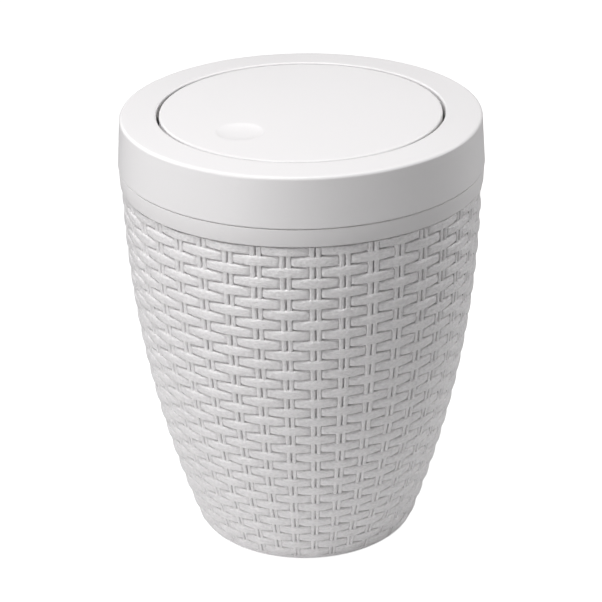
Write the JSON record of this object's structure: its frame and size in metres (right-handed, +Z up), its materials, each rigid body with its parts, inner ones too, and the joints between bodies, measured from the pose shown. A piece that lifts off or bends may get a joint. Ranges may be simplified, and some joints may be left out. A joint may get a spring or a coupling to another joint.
{
  "type": "swing-top wastebasket",
  "caption": "Small round wastebasket with a woven-look tapered wall, a smooth rim band, a lift-off lid ring and a round swing flap with a finger dimple.",
  "frame": {"origin": "centre of the foot, on the surface that the basket stands on", "axes": "+Z up the basket's axis; X along the flap's pivot; the finger dimple, which is pushed down, is towards -Y"},
  "size_m": [0.219, 0.219, 0.271],
  "materials": {
    "woven_shell": "satin white moulded plastic, fine grain along the strands",
    "smooth_shell": "satin white moulded plastic",
    "flap_plastic": "fine matt white moulded plastic",
    "inner_plastic": "matt white moulded plastic",
    "bush_plastic": "natural acetal",
    "soft_pad": "matt grey elastomer",
    "steel": "plain ground steel"
  },
  "bodies": {
    "basket": {"basket": "woven_shell", "rim_band": "smooth_shell"},
    "lid": {"lid_ring": "smooth_shell", "lid_collar": "inner_plastic", "bearing_left": "bush_plastic", "bearing_right": "bush_plastic", "stop_pads": "soft_pad"},
    "flap": {"flap_cover": "flap_plastic", "flap_frame": "inner_plastic", "pivot_pin_left": "steel", "pivot_pin_right": "steel", "counterweight": "steel"}
  },
  "joints": [
    {"name": "lid_lift", "type": "slide", "parent": "basket", "child": "lid", "axis": [0, 0, 1], "range_m": [0, 0.1]},
    {"name": "flap_swing", "type": "hinge", "parent": "lid", "child": "flap", "pos_m": [0, 0, 0.2623], "axis": [1, 0, 0], "range_deg": [0, 75]}
  ]
}
